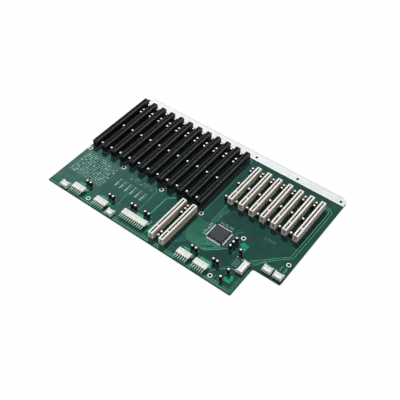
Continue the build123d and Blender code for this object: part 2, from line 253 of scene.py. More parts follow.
M = {
    "board": board_material(),
    "strip": strip_material(),
    "rim": mottled("land_edge", (246, 250, 249), (252, 254, 253), 0.5, 300.0),
    # Dark green: dark lines in the mask, and the painted shadow in front of the rear land
    "dark_mask_and_painted_shadow": under_mask("dark_mask_and_painted_shadow", (12, 44, 36), (20, 56, 46), 300.0, 0.6),
    "tin": mottled("bright_tin", (196, 196, 196), (232, 232, 230), 0.28, 900.0, 0.75),
    "ring": mottled("hole_ring", (232, 234, 234), (250, 251, 250), 0.4, 900.0, 0.2),
    "pin": pin_material(),
    "pad": mottled("solder", (170, 172, 172), (215, 215, 212), 0.3, 1500.0, 0.7),
    # Near black: painted shade in holes, slot bottoms, recesses and key slots
    "dark": mottled("cavity_painted_shade", (8, 8, 9), (14, 14, 15), 0.8, 400.0, specular=0.2),
    "black": moulded("black_moulding", (17, 17, 19), (26, 26, 29), 0.42, 260.0, 0.3),
    # Lighter black: a painted highlight on the black slots' top edges
    "black_painted_edge_highlight": moulded("black_moulding_painted_edge_highlight", (84, 84, 88), (106, 106, 110), 0.4, 500.0, 0.4),
    # Black speckled with grey: painted glints of the contacts on the black slots' tops
    "black_rib_painted_glints": moulded("black_moulding_rib_painted_glints", (28, 28, 31), (118, 118, 121), 0.42, 420.0, 0.4),
    "ivory": moulded("ivory_moulding", (238, 232, 223), (249, 245, 238), 0.45, 200.0, 0.5),
    # A darker copy of the ivory: painted shade on the slots' recessed sides
    "ivory_side": moulded("ivory_moulding_painted_side_shade", (188, 181, 166), (206, 199, 184), 0.5, 200.0, 0.4),
    "ivory_well": mottled("ivory_moulding_in_shade", (62, 54, 46), (84, 75, 65), 0.6, 300.0, specular=0.2),
    "contact": mottled("contact_spring", (92, 90, 84), (140, 136, 124), 0.35, 1200.0, 0.8),
    "sleeve": mottled("can_sleeve", (9, 9, 11), (17, 17, 19), 0.35, 500.0, specular=0.4),
    "stripe": mottled("can_stripe", (96, 100, 104), (120, 124, 126), 0.4, 700.0),
    "can": mottled("can_aluminium", (246, 247, 247), (253, 253, 253), 0.36, 900.0, 0.1, grain=3000.0),
    "chip": mottled("chip_epoxy", (52, 54, 61), (64, 66, 73), 0.55, 700.0, specular=0.35,
                    grain=4000.0, depth=0.00003, strength=0.6),
    # A darker copy of the epoxy: painted shade on the chip's sides and bevel, also used for its pin-one mark
    "chip_painted_side_shade_and_mark": mottled("chip_epoxy_painted_side_shade_and_mark", (26, 24, 28), (40, 37, 42), 0.6, 900.0, specular=0.3,
                         grain=4000.0),
    "nylon": mottled("header_nylon", (213, 215, 210), (236, 238, 233), 0.4, 240.0),
    "wafer": mottled("wafer_nylon", (228, 231, 228), (246, 248, 246), 0.4, 240.0),
    "trace": under_mask("trace_under_mask", (80, 146, 124), (100, 166, 142), 150.0),
    "trace_soft": under_mask("trace_under_mask_soft", (58, 116, 97), (74, 132, 111), 150.0),
    "trace_bright": under_mask("trace_under_mask_bright", (66, 165, 134), (88, 180, 148), 150.0),
    "pour": under_mask("pour_under_mask", (33, 84, 70), (46, 99, 83), 90.0),
    "pour_bright": under_mask("pour_under_mask_bright", (10, 116, 84), (52, 158, 120), 320.0),
    "pour_deep": under_mask("pour_under_mask_deep", (2, 84, 58), (24, 116, 82), 260.0),
    "border": under_mask("border_under_mask", (36, 84, 69), (56, 106, 87), 320.0),
    "shade": mottled("recess_shade", (128, 120, 112), (150, 142, 132), 0.6, 300.0),
    "silk": mottled("silkscreen", (172, 200, 192), (206, 224, 216), 0.6, 800.0),
    "faint_silk": mottled("silkscreen_worn", (104, 150, 138), (134, 176, 162), 0.6, 800.0),
}


# Mesh making

def circle(x, y, r, sides):
    """Points round a centre."""
    turns = [2 * math.pi * i / sides for i in range(sides)]
    return [(x + r * math.cos(t), y + r * math.sin(t)) for t in turns]


def band(first, second, count):
    """Faces between two closed rows of vertices, from the place where each row starts."""
    return [[first + i, first + (i + 1) % count, second + (i + 1) % count, second + i] for i in range(count)]


def on_side(sign, a, b):
    """Two distances from the middle, as places on one side of it, lowest first."""
    return sorted((sign * a, sign * b))


def ways(count, step):
    """Evenly stepped places about zero."""
    return [(i - (count - 1) / 2) * step for i in range(count)]


class Maker:
    """Gathers the faces of one piece, each with its material."""

    def __init__(self, *materials):
        self.verts, self.faces, self.slots = [], [], []
        self.materials = [M[m] for m in materials]
        self.index = {m: i for i, m in enumerate(materials)}

    def cover(self, base, faces, mat):
        """Adds faces over vertices that start at base."""
        for face in faces:
            self.faces.append([base + i for i in face])
            self.slots.append(self.index[mat])

    def add(self, verts, faces, mat):
        base = len(self.verts)
        self.verts.extend(verts)
        self.cover(base, faces, mat)

    def outline(self, points, place, low, high, mat):
        """A closed outline drawn out from low to high; place turns (u, v, w) into (x, y, z)."""
        n = len(points)
        verts = [place(u, v, w) for w in (low, high) for u, v in points]
        faces = [list(range(n))[::-1], list(range(n, 2 * n))] + band(0, n, n)
        self.add(verts, faces, mat)

    def along_y(self, points, low, high, mat):
        self.outline(points, lambda u, v, w: (u, w, v), low, high, mat)

    def along_x(self, points, low, high, mat):
        self.outline(points, lambda u, v, w: (w, u, v), low, high, mat)

    def box(self, low, high, mat):
        (x0, y0, z0), (x1, y1, z1) = low, high
        self.outline([(x0, y0), (x1, y0), (x1, y1), (x0, y1)], lambda u, v, w: (u, v, w), z0, z1, mat)

    def bar(self, xs, ys, zs, mat):
        """A plain box by its two places along each axis."""
        (x0, x1), (z0, z1) = xs, zs
        self.along_y([(x0, z0), (x1, z0), (x1, z1), (x0, z1)], *ys, mat)

    def strap(self, line, other, place, low, high, mat):
        """A bent strap between two lines of as many points, drawn out from low to high."""
        points = line + other[::-1]
        k = len(points)
        faces = band(0, k, k)
        for i in range(len(line) - 1):
            faces.append([i, i + 1, k - 2 - i, k - 1 - i])
            faces.append([k + i, k + k - 1 - i, k + k - 2 - i, k + i + 1])
        self.add([place(u, v, w) for w in (low, high) for u, v in points], faces, mat)

    def soft_box(self, low, high, mat, cut=0.2):
        """A box with every edge and corner chamfered."""
        verts = []
        for axis in range(3):
            for sign in product((0, 1), repeat=3):
                point = []
                for k in range(3):
                    end = high[k] if sign[k] else low[k]
                    inward = -cut if sign[k] else cut
                    point.append(end if k == axis else end + inward)
                verts.append(tuple(point))

        def vid(axis, sx, sy, sz):
            return axis * 8 + sx * 4 + sy * 2 + sz

        faces = []
        for s in (0, 1):
            faces.append([vid(0, s, 0, 0), vid(0, s, 1, 0), vid(0, s, 1, 1), vid(0, s, 0, 1)])
            faces.append([vid(1, 0, s, 0), vid(1, 1, s, 0), vid(1, 1, s, 1), vid(1, 0, s, 1)])
            faces.append([vid(2, 0, 0, s), vid(2, 1, 0, s), vid(2, 1, 1, s), vid(2, 0, 1, s)])
        for a, b in product((0, 1), repeat=2):
            faces.append([vid(0, a, b, 0), vid(0, a, b, 1), vid(1, a, b, 1), vid(1, a, b, 0)])
            faces.append([vid(0, a, 0, b), vid(0, a, 1, b), vid(2, a, 1, b), vid(2, a, 0, b)])
            faces.append([vid(1, 0, a, b), vid(1, 1, a, b), vid(2, 1, a, b), vid(2, 0, a, b)])
            for c in (0, 1):
                faces.append([vid(0, a, b, c), vid(1, a, b, c), vid(2, a, b, c)])
        self.add(verts, faces, mat)

    def lathe(self, x, y, profile, mats, sides):
        """A round form about a vertical axis: profile is (r, z) from one end to the other."""
        base = len(self.verts)
        for r, z in profile:
            self.verts += [(u, v, z) for u, v in circle(x, y, r, sides)]
        for k, mat in enumerate(mats):
            self.cover(base, band(k * sides, (k + 1) * sides, sides), mat)
        for row, mat in ((0, mats[0]), (len(profile) - 1, mats[-1])):
            if profile[row][0] > 0.01:
                self.cover(base, [[row * sides + i for i in range(sides)]], mat)

    def hoop(self, x, y, first, second, mat, sides):
        """A band between two circles, each given as (r, z)."""
        verts = [(u, v, z) for r, z in (first, second) for u, v in circle(x, y, r, sides)]
        self.add(verts, band(sides, 0, sides), mat)

    def ring(self, x, y, z, inner, outer, mat, sides):
        self.hoop(x, y, (inner, z), (outer, z), mat, sides)

    def sheet(self, points, z, mat):
        self.add([(x, y, z) for x, y in points], [list(range(len(points)))], mat)

    def dash(self, x, y, w, h, z, mat):
        self.sheet([(x, y), (x + w, y), (x + w, y + h), (x, y + h)], z, mat)

    def ribbon(self, points, width, z, mat):
        """A flat track of one width along a line of points, mitred at its bends."""
        n = len(points)
        verts = []
        for i, (x, y) in enumerate(points):
            normals = []
            for a, b in ((i - 1, i), (i, i + 1)):
                if a < 0 or b == n:
                    continue
                dx, dy = points[b][0] - points[a][0], points[b][1] - points[a][1]
                d = math.hypot(dx, dy)
                normals.append((-dy / d, dx / d))
            nx = sum(p[0] for p in normals) / len(normals)
            ny = sum(p[1] for p in normals) / len(normals)
            # A sharp bend's mitre is held short
            reach = width / 2 / max(nx * nx + ny * ny, 0.3)
            verts += [(x + nx * reach, y + ny * reach, z), (x - nx * reach, y - ny * reach, z)]
        self.add(verts, [[2 * i, 2 * i + 1, 2 * i + 3, 2 * i + 2] for i in range(n - 1)], mat)

    def mesh(self, name):
        data = bpy.data.meshes.new(name)
        data.from_pydata([tuple(c * MM for c in v) for v in self.verts], [], self.faces)
        for mat in self.materials:
            data.materials.append(mat)
        data.polygons.foreach_set("material_index", self.slots)
        data.update()
        return data


def face_outwards(data):
    """Turns all faces of closed forms outwards."""
    work = bmesh.new()
    work.from_mesh(data)
    bmesh.ops.recalc_face_normals(work, faces=work.faces)
    work.to_mesh(data)
    work.free()


def new_object(name, data):
    obj = bpy.data.objects.new(name, data)
    bpy.context.scene.collection.objects.link(obj)
    return obj


def piece(name, source, replaces=(), at=(0, 0, 0), turn=0.0, closed=True):
    """Puts a mesh in the scene as a piece of the object."""
    if isinstance(source, Maker):
        data = source.mesh(name)
        if closed:
            face_outwards(data)
    else:
        data = source
    obj = new_object(name, data)
    obj.matrix_world = Matrix.Translation([c * MM for c in at]) @ Matrix.Rotation(math.radians(turn), 4, "Z")
    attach(obj, "root")
    if replaces:
        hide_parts(*replaces)


# Slots

def section_ends(front, rear, step, gap):
    """Where each of the two sections of contacts starts, and how many it holds."""
    start = -((front - 1) * step + gap + (rear - 1) * step) / 2
    return [(start, front), (start + (front - 1) * step + gap, rear)]


ISA_SECTIONS = section_ends(18, 31, ISA_STEP, 7.62)
PCI_SECTIONS = section_ends(11, 49, PCI_STEP, 3.81)
# How far the mouth's lead-in goes down, and how thick the end walls are
LEAD_IN, END_WALL = 0.55, 1.4


def spring(m, side, y, wide, floor, height, reach):
    """A bent contact: up from the floor, in to the slot, and back out at the top."""
    thin = 0.22
    line = [(reach - 0.15, floor), (reach - 0.25, floor + 2.6), (0.72, height - 3.6),
            (0.62, height - 2.8), (0.95, height - 1.7), (1.25, height - 1.1)]
    outer = [(x + thin, z) for x, z in line]
    m.strap(line, outer, lambda u, v, w: (side * u, y + w, v), -wide / 2, wide / 2, "contact")


def slot_mesh(name, width, length, height, sections, step, rib, reach, tones, contact_wide):
    """A moulded housing with an open window for every contact and the contacts in them."""
    body, rib_body, edge_body, side_body, well, back = tones
    m = Maker(*dict.fromkeys(tones + ("contact", "dark")))
    half, foot, shoulder, crown = width / 2, width / 2 - 0.6, height - 0.5, width / 2 - 0.5
    floor, mouth = height - 9.2, height - LEAD_IN
    ends = length / 2 - END_WALL
    lip, bevel = 0.85, 0.4
    # The sides stand back between the rail along the top and the flange along the foot
    waist, rail, flange = half - 0.4, height - 1.6, 1.3
    m.along_y([(-foot, 0), (foot, 0), (half, 0.3), (half, flange), (waist, flange + 0.2), (waist, floor),
               (-waist, floor), (-waist, flange + 0.2), (-half, flange), (-half, 0.3)], -ends, ends, body)
    for s in (-1, 1):
        m.along_y([(s * reach, floor), (s * waist, floor), (s * waist, rail - 0.2), (s * half, rail),
                   (s * half, shoulder), (s * crown, height), (s * reach, height)], -ends, ends, body)
        # On the ivory slots the recessed side is a darker copy of the ivory as painted shade, and on every
        # slot the line under the rail is painted shade
        skin = (s * (waist - 0.1), s * (waist + 0.03))
        m.bar(skin, (-ends, ends), (flange + 0.1, rail - 0.8), side_body)
        m.bar(skin, (-ends, ends), (rail - 0.8, rail - 0.1), well)
        # The outer edge, where it catches the light; on the black slots it is painted lighter as a highlight
        m.along_y([(s * (half - 0.2), shoulder - 0.25), (s * (half + 0.02), shoulder - 0.15),
                   (s * crown, height + 0.03), (s * (crown - 0.25), height + 0.03),
                   (s * (crown - 0.25), height - 0.2)], -ends, ends, edge_body)
    solid = []
    edge = -ends
    for start, count in sections:
        solid.append((edge, start - step / 2 - 0.3))
        edge = start + (count - 1) * step + step / 2 + 0.3
        for i in range(count + 1):
            y = start + (i - 0.5) * step
            low, high = y - rib / 2, y + rib / 2
            # Every rib's lower part is painted shade, and on the black slots the right-hand ribs' tops carry
            # painted glints of the contacts
            for s, mat in ((-1, body), (1, rib_body)):
                m.bar((s * lip, s * reach), (low, high), (floor, mouth), well)
                m.along_y([(s * lip, mouth), (s * reach, mouth), (s * reach, height - 0.12),
                           (s * (lip + bevel), height - 0.12)], low, high, mat)
        for i in range(count):
            for s in (-1, 1):
                spring(m, s, start + i * step, contact_wide, floor, height, reach)
    solid.append((edge, ends))
    for k, (low, high) in enumerate(solid):
        # Between two sections only a narrow key crosses the slot, with a pit at either side
        if k == 1:
            pit, key_half, middle = 1.6, 0.8, (low + high) / 2
            for s in (-1, 1):
                m.bar((s * pit, s * reach), (low, high), (floor, height), body)
            m.bar((-pit - 0.1, pit + 0.1), (middle - key_half, middle + key_half), (floor, height), body)
            continue
        # Past the last contact the card slot runs on, between plain walls whose lower parts are painted
        # shade, over a dark block of painted shade
        for s in (-1, 1):
            m.bar((s * lip, s * reach), (low, high), (floor, mouth), well)
            m.along_y([(s * lip, mouth), (s * reach, mouth), (s * reach, height),
                       (s * (lip + bevel), height)], low, high, body)
        m.bar((-lip, lip), (low, high), (floor, height - 7), "dark")
    # Each end is a frame round a recess with one low post in it, and the recess's back wall is painted shade
    side, sill, lintel = half - 1.6, 1.6, height - 1.3
    for s in (-1, 1):
        wall = on_side(s, ends, length / 2)
        for t in (-1, 1):
            m.along_y([(t * side, 1), (t * half, 1), (t * half, shoulder), (t * crown, height),
                       (t * side, height)], *wall, body)
        m.bar((-side, side), wall, (lintel, height), body)
        m.bar((-foot, foot), wall, (0, sill), body)
        m.bar((-side, side), on_side(s, ends, ends + 0.05), (sill, lintel), back)
        m.bar((-0.3, 0.3), on_side(s, ends, ends + 0.4), (sill, height * 0.55), body)
    data = m.mesh(name)
    face_outwards(data)
    return data


def build_slots():
    isa = slot_mesh("isa_slot_mesh", ISA_WIDTH, ISA_LENGTH, ISA_HEIGHT, ISA_SECTIONS, ISA_STEP, 0.95, 2.9,
                    ("black", "black_rib_painted_glints", "black_painted_edge_highlight", "black", "dark", "dark"), 0.9)
    pci = slot_mesh("pci_slot_mesh", PCI_WIDTH, PCI_LENGTH, PCI_HEIGHT, PCI_SECTIONS, PCI_STEP, 0.72, 1.9,
                    ("ivory", "ivory", "ivory", "ivory_side", "ivory_well", "shade"), 0.4)
    for n, x in enumerate(ISA_X, 1):
        piece(f"isa_slot_look_{n:02d}", isa, (f"isa_slot_{n:02d}",),
              (x, ISA_FRONT + ISA_LENGTH / 2, BOARD_TOP))
    for kind, places, front in (("processor_slot", PICMG_X, PICMG_FRONT), ("pci_slot", PCI_X, PCI_FRONT)):
        for n, x in enumerate(places, 1):
            piece(f"{kind}_look_{n}", pci, (f"{kind}_{n}",),
                  (x, front + PCI_LENGTH / 2, BOARD_TOP))
    pegs = Maker("ivory")
    for x, front in IVORY_SLOTS:
        for y in (front + 3.4, front + PCI_LENGTH - 3.4):
            pegs.lathe(x, y, [(1.0, 0), (1.12, 0.5), (1.12, BOARD_TOP)], ["ivory", "ivory"], 16)
    piece("locating_pegs", pegs)


# Solder tails under the board

def tail(m, x, y, foot, low=0.45):
    """A clipped lead in its cone of solder."""
    m.lathe(x, y, [(0.22, low), (0.3, low + 0.45), (foot, BOARD_LOW - 0.02)], ["tin", "pad"], 6)


def build_tails():
    m = Maker("pad", "tin")
    # Every slot has two staggered rows of leads to either side of its middle
    slots = [(x, ISA_FRONT + ISA_LENGTH / 2, ISA_SECTIONS, ISA_STEP, (3.81, 2.54), 0.85) for x in ISA_X]
    slots += [(x, front + PCI_LENGTH / 2, PCI_SECTIONS, PCI_STEP, (3.048, 1.27), 0.6)
              for x, front in IVORY_SLOTS]
    for x, middle, sections, step, rows, foot in slots:
        for start, count in sections:
            for i in range(count):
                for s in (-1, 1):
                    tail(m, x + s * rows[i % 2], middle + start + i * step, foot)
    for x, y in slot_cap_places() + supply_cap_places():
        for dx in (-1.25, 1.25):
            tail(m, x + dx, y, 0.9, 0.8)
    for pins, x, inset in POWER:
        for dx in ways(pins, POWER_STEP):
            m.ring(x + dx, BOARD_FRONT + inset + 1.15, BOARD_LOW - 0.04, 0.95, 1.7, "pad", 20)
    piece("solder_joints", m)


# Capacitors

def slot_cap_places():
    places = []
    for n in range(11):
        places += [(ISA_X[n] + PITCH / 2, ISA_FRONT + row) for row in (8.7, 62.5, 108.3, 116.2, 131.1)]
    for x in PCI_X:
        places += [(x - 10.2, PCI_FRONT + row) for row in (4.6, 39.4, 73.2, 80.2)]
    places += [(sum(PICMG_X) / 2, PICMG_FRONT + row) for row in (7.1, 14.7, 63.8, 73.1, 79.9)]
    return places


def supply_cap_places():
    line = PCI_X[2] + 11.7
    places = [(line, CHIP_Y + 5.6 - n * 8.4) for n in range(3)]
    places += [(PCI_X[3] + 8.8, CHIP_Y - 8.6), (NOTCH_LEFT - 24.2, BOARD_FRONT + 29.9),
               (NOTCH_LEFT - 26.2, BOARD_FRONT + 13.0)]
    shifts = [(3.1, 10.2), (3.4, 10.6), (-19.9, -12.7, 7.1, 14.4), (2.4, 9.8), (10.6, 17.9)]
    for (pins, x, inset), steps in zip(POWER, shifts):
        places += [(x + dx, BOARD_FRONT + inset + 12.0) for dx in steps]
    return places


def can(m, x, y, r, turn):
    """A sleeved can: pinched near its foot, sleeve curled over the rim, scored aluminium top."""
    z, tall, disc = BOARD_TOP, 9.2, 1.72
    top = z + tall
    profile = [(r * 0.9, z), (r, z + 0.25), (r, z + 0.9), (r * 0.93, z + 1.25), (r, z + 1.6), (r, top - 0.6),
               (r * 0.93, top - 0.15), (r * 0.8, top), (disc + 0.12, top - 0.02), (disc + 0.06, top - 0.14),
               (disc, top - 0.08), (0.001, top - 0.05)]
    m.lathe(x, y, profile, ["sleeve"] * 9 + ["can"] * 2, 24)
    for a in (turn, turn + math.pi / 2):
        dx, dy = math.cos(a) * disc * 0.7, math.sin(a) * disc * 0.7
        m.ribbon([(x - dx, y - dy), (x + dx, y + dy)], 0.1, top - 0.035, "stripe")
    # The pale band down one side that marks the negative lead
    half_turn, steps = 0.28, 4
    verts = []
    for i in range(steps + 1):
        t = turn + (i / steps - 0.5) * 2 * half_turn
        for up in (1.7, tall - 0.55):
            verts.append((x + math.cos(t) * (r + 0.02), y + math.sin(t) * (r + 0.02), z + up))
    m.add(verts, [[2 * i, 2 * i + 2, 2 * i + 3, 2 * i + 1] for i in range(steps)], "stripe")


def build_caps():
    rng = random.Random(7)
    for name, places, r, node in (("slot_cans", slot_cap_places(), 2.6, "slot_capacitors"),
                                  ("supply_cans", supply_cap_places(), 3.15, "supply_capacitors")):
        m = Maker("sleeve", "can", "stripe")
        for x, y in places:
            can(m, x, y, r, 2.4 + rng.uniform(-0.15, 0.15))
        piece(name, m, (node,), closed=False)


# Bridge chip

def at_chip(side, out, along):
    """A place given from the chip's middle: out through one of its sides, and along that side."""
    c, s = math.cos(side * math.pi / 2), math.sin(side * math.pi / 2)
    return CHIP_X + out * c - along * s, CHIP_Y + out * s + along * c


def build_chip_body():
    """The moulded body: drafted below its middle, with a broad bevel down from the flat top; its sides and
    bevel are a darker copy of the epoxy, as painted shade.
    """
    m = Maker("chip", "chip_painted_side_shade_and_mark")
    half, low, top = CHIP_SIZE / 2, BOARD_TOP + 0.3, BOARD_TOP + 3.7
    rows = [(half - 0.4, low), (half, low + 1.7), (half - 0.2, low + 2.0), (half - 1.7, top)]
    verts = []
    for reach, z in rows:
        # Every upright corner is cut off, so a row has eight points
        near = reach - 0.6
        for x, y in ((-1, -1), (1, -1), (1, 1), (-1, 1)):
            pair = [(x * near, y * reach), (x * reach, y * near)]
            verts += [(CHIP_X + u, CHIP_Y + v, z) for u, v in (pair if x * y < 0 else pair[::-1])]
    for row in range(len(rows) - 1):
        m.add(verts[row * 8:row * 8 + 16], band(0, 8, 8), "chip_painted_side_shade_and_mark")
    m.add(verts[-8:], [list(range(8))], "chip")
    m.add(verts[:8], [list(range(8))[::-1]], "chip_painted_side_shade_and_mark")
    mark = half - 3.4
    m.ring(CHIP_X - mark, CHIP_Y - mark, top + 0.01, 0.01, 1.2, "chip_painted_side_shade_and_mark", 20)
    piece("bridge_chip_look", m, ("bridge_chip",), closed=False)


def build_chip_leads():
    m = Maker("tin", "ring")
    half, thin, lead_half, pad_half = CHIP_SIZE / 2, 0.15, 0.16, 0.28
    line = [(-0.2, 1.6), (0.45, 1.6), (0.75, 1.4), (0.85, 0.3), (1.05, 0.1), (1.7, 0.08)]
    under = [(u, w - thin) for u, w in line]
    for side in range(4):
        for t in ways(40, 0.65):
            m.strap(line, under, lambda u, w, v: (*at_chip(side, half + u, v), BOARD_TOP + max(w, 0.02)),
                    t - lead_half, t + lead_half, "tin")
            low, high = t - pad_half, t + pad_half
            pad = [(half + 1.0, low), (half + 2.6, low), (half + 2.6, high), (half + 1.0, high)]
            m.outline(pad, lambda u, v, w: (*at_chip(side, u, v), BOARD_TOP + w), 0.01, 0.09, "ring")
    piece("chip_leads", m)


# Headers

def build_power_headers():
    height, plate, depth, wall = 6.6, 1.8, 10.3, 3.2
    under = height - plate
    for n, (pins, x, inset) in enumerate(POWER, 1):
        m = Maker("nylon")
        half = pins * POWER_STEP / 2
        m.soft_box((-half, -wall, under - 0.3), (half, 0, height), "nylon", 0.3)
        m.soft_box((-half, -depth, under), (half, -wall + 0.5, height - 0.25), "nylon", 0.3)
        # A tongue over every pin, and a rib at either side of it
        for c in ways(pins, POWER_STEP):
            m.soft_box((c - 1.2, -depth - 0.8, under), (c + 1.2, -depth + 1.6, height), "nylon", 0.25)
        for c in ways(pins + 1, POWER_STEP):
            m.soft_box((max(c - 1.15, -half), -wall, 0), (min(c + 1.15, half), 0, under), "nylon", 0.12)
        for s in (-1, 1):
            low, high = on_side(s, half, half - 0.9)
            m.soft_box((low, -depth + 1.0, under - 0.9), (high, -wall, under + 0.3), "nylon", 0.15)
        piece(f"power_header_look_{n}", m, (f"power_header_{n}",),
              (x, BOARD_FRONT + inset, BOARD_TOP))


def build_wafers():
    depth, h, t = 9.2, 6.2, 0.8
    front, back = -depth, -1.9
    for n, (pins, x, y, turn) in enumerate(WAFERS, 1):
        m = Maker("wafer", "shade", "dark")
        half = (pins - 1) * WAFER_STEP / 2 + 2.45
        m.soft_box((-half, -2.0, 0), (half, 0, h), "wafer")
        m.soft_box((-half, front, 0), (half, back, t), "wafer", 0.15)
        for s in (-1, 1):
            low, high = on_side(s, half, half - t)
            m.soft_box((low, front, 0.1), (high, back, h), "wafer")
            low, high = on_side(s, half, half - 1.7)
            m.soft_box((low, front, h - t), (high, back, h), "wafer")
            low, high = on_side(s, half, half - 1.1)
            m.along_x([(-0.2, 0), (2.3, 0), (2.3, h - 1.0), (2.1, h - 0.8), (0, h), (-0.2, h)], low, high,
                      "wafer")
        m.soft_box((-half, front + 6.3, h - t), (half, back, h), "wafer")
        # The sunken top plate, parted from the walls by a thin line of painted shade, with two key slots in
        # its front drawn as dark marks of painted shade
        m.soft_box((-half + 1.9, front + 0.7, h - 1.7), (half - 1.9, front + 6.5, h - 0.6), "wafer", 0.15)
        m.box((-half + t, front + 0.9, h - 1.9), (half - t, front + 6.5, h - 1.6), "shade")
        # The inner floor steps up behind the pins, pale enough to light the mouth
        m.soft_box((-half + t, front + 2.4, t), (half - t, back, 2.2), "wafer", 0.15)
        for key in (-half * 0.5, half * 0.5):
            m.box((key - 0.9, front + 1.2, h - 0.7), (key + 0.9, front + 1.7, h - 0.57), "dark")
        piece(f"wafer_header_look_{n}", m, (f"wafer_header_{n}",), (x, y, BOARD_TOP), turn)


# Copper and print on the board

def build_holes():
    m = Maker("ring", "dark", "dark_mask_and_painted_shadow")
    sides = 36
    in_strip = [(x, HOLE_REAR) for x in HOLE_X]
    in_mask = [(x, HOLE_MIDDLE) for x in HOLE_X] + [(HOLE_X[1], HOLE_FRONT), (HOLE_X[4], HOLE_FRONT)]
    # The dark ring at each hole's edge and the dark barrel are painted shade inside the hole
    for x, y in in_strip + in_mask:
        if y != HOLE_REAR:
            m.ring(x, y, HOLE_Z, 2.4, 3.8, "ring", sides)
            m.ring(x, y, HOLE_Z, 1.95, 2.4, "dark", sides)
            m.ring(x, y, HOLE_Z - 0.015, 3.7, 4.1, "dark_mask_and_painted_shadow", sides)
        m.ring(x, y, BOARD_LOW - 0.05, 2.0, 3.9, "ring", sides)
        m.hoop(x, y, (HOLE_RADIUS, BOARD_LOW), (HOLE_RADIUS, HOLE_Z), "dark", sides)
    piece("plated_holes", m, closed=False)


def build_strip():
    """The bare land along the rear edge, with its brighter front rim, and a dark line of painted shadow in
    front of it.
    """
    low, top = BOARD_TOP + 0.02, BOARD_TOP + 0.1
    inset, corner, steps = 0.6, 8.0, 10
    front, rear = BOARD_REAR - 16.4, BOARD_REAR - inset
    left, right = BOARD_LEFT + inset, BOARD_RIGHT - inset
    points = [(left, front), (right, front)]
    for cx, first in ((right - corner, 0), (left + corner, 90)):
        for i in range(steps + 1):
            a = math.radians(first + 90 * i / steps)
            points.append((cx + corner * math.cos(a), rear - corner + corner * math.sin(a)))
    curve = bpy.data.curves.new("rear_strip", "CURVE")
    curve.dimensions = "2D"
    curve.fill_mode = "BOTH"
    curve.extrude = (top - low) / 2 * MM
    for loop in [points] + [circle(x, HOLE_REAR, 2.3, 24) for x in HOLE_X]:
        spline = curve.splines.new("POLY")
        spline.points.add(len(loop) - 1)
        spline.use_cyclic_u = True
        for target, (x, y) in zip(spline.points, loop):
            target.co = (x * MM, y * MM, 0, 1)
    holder = bpy.data.objects.new("rear_strip_curve", curve)
    data = bpy.data.meshes.new_from_object(holder)
    bpy.data.objects.remove(holder)
    data.transform(Matrix.Translation((0, 0, (low + top) / 2 * MM)))
    data.materials.clear()
    data.materials.append(M["strip"])
    piece("rear_strip_land", data, ("rear_ground_strip",))
    m = Maker("rim", "dark_mask_and_painted_shadow", "dark")
    # Dark rings of painted shade round the holes in the land
    for x in HOLE_X:
        m.ring(x, HOLE_REAR, top + 0.01, HOLE_RADIUS, 2.45, "dark", 30)
    m.ribbon([(left, front + 0.35), (right, front + 0.35)], 0.7, top + 0.01, "rim")
    # A dark line of painted shadow along the land's front
    m.ribbon([(BOARD_LEFT + 0.1, front - 0.5), (BOARD_RIGHT - 0.1, front - 0.5)], 1.0, top, "dark_mask_and_painted_shadow")
    piece("rear_strip_edges", m, closed=False)


def front_border(m):
    """The pour along the front edge with its even tracks and vias, and the tracks up by the notch."""
    m.sheet([(BOARD_LEFT + 1, BOARD_FRONT + 1), (NOTCH_LEFT - 1, BOARD_FRONT + 1),
             (NOTCH_LEFT - 1, BOARD_FRONT + 8), (BOARD_LEFT + 1, BOARD_FRONT + 8)], POUR_Z, "border")
    y = BOARD_FRONT + 1.9
    m.ribbon([(BOARD_LEFT + 3, y), (NOTCH_LEFT - 3, y)], 0.8, TRACK_Z, "trace")
    for k in range(1, 5):
        y = BOARD_FRONT + 1.8 + k * 1.35
        m.ribbon([(BOARD_LEFT + 14 + 6 * k, y), (NOTCH_LEFT - 6 - 5 * k, y)], 0.55, TRACK_Z, "trace_soft")
    for x, y in [(3.7, -125.2), (8.1, -125.5), (20.4, -123.8), (24.7, -124.9), (30.8, -125.0)]:
        m.ring(x, y, PRINT_Z, 0.01, 0.7, "faint_silk", 12)
    for k in range(3):
        x = NOTCH_LEFT - 2.2 - k * 2.0
        m.ribbon([(x, BOARD_FRONT + 6 + k), (x, NOTCH_REAR - 6 - k)], 0.8, TRACK_Z, "trace_soft")


def chip_bundle(m):
    """The pour between the second processor slot and the chip, and the tracks that bend round by it."""
    m.sheet([(34.5, -86), (36.5, -43.5), (56, -42.5), (66, -40), (66, -68), (97, -70), (108.6, -65.6),
             (101.8, -73.3), (94.5, -81.4), (85.3, -89.6), (79.9, -91.4), (59.5, -90.4), (46, -88.5)],
            POUR_Z, "pour")
    m.sheet([(57.6, -40), (65.4, -40), (65.5, -15.6), (67.6, -8.8), (68, 3), (57.4, 3)], POUR_OVER_Z, "pour")
    for k in range(6):
        y = -24 + 2.2 * k
        m.ribbon([(59, y), (63.5, y)], 0.5, TRACK_Z, "trace_soft")
    # Curved tracks from the front of the second processor slot to the bundle
    for k in range(4):
        m.ribbon([(30.2 + k, -110 - k * 0.8), (33.2 + 2 * k, -101.4 - k * 0.5),
                  (38.2 + 1.9 * k, -95.2 - k * 0.5), (43.5 + 2.2 * k, -89 - 1.1 * k)],
                 0.6, TRACK_Z, "trace_soft")
    for k in range(7):
        y = -73 - 2.7 * k
        m.ribbon([(38 + 1.2 * k, y + 0.6), (66 + 2.3 * k, y), (71 + 2.4 * k, y + 1.5),
                  (76 + 5.3 * k, -70 + 0.6 * k)], 0.7 + 0.12 * k, TRACK_Z, "trace_soft")
    for k in range(9):
        y = -46 - 2.8 * k
        m.ribbon([(39, y), (57 + k, y)], 0.35, TRACK_Z, "trace_soft")


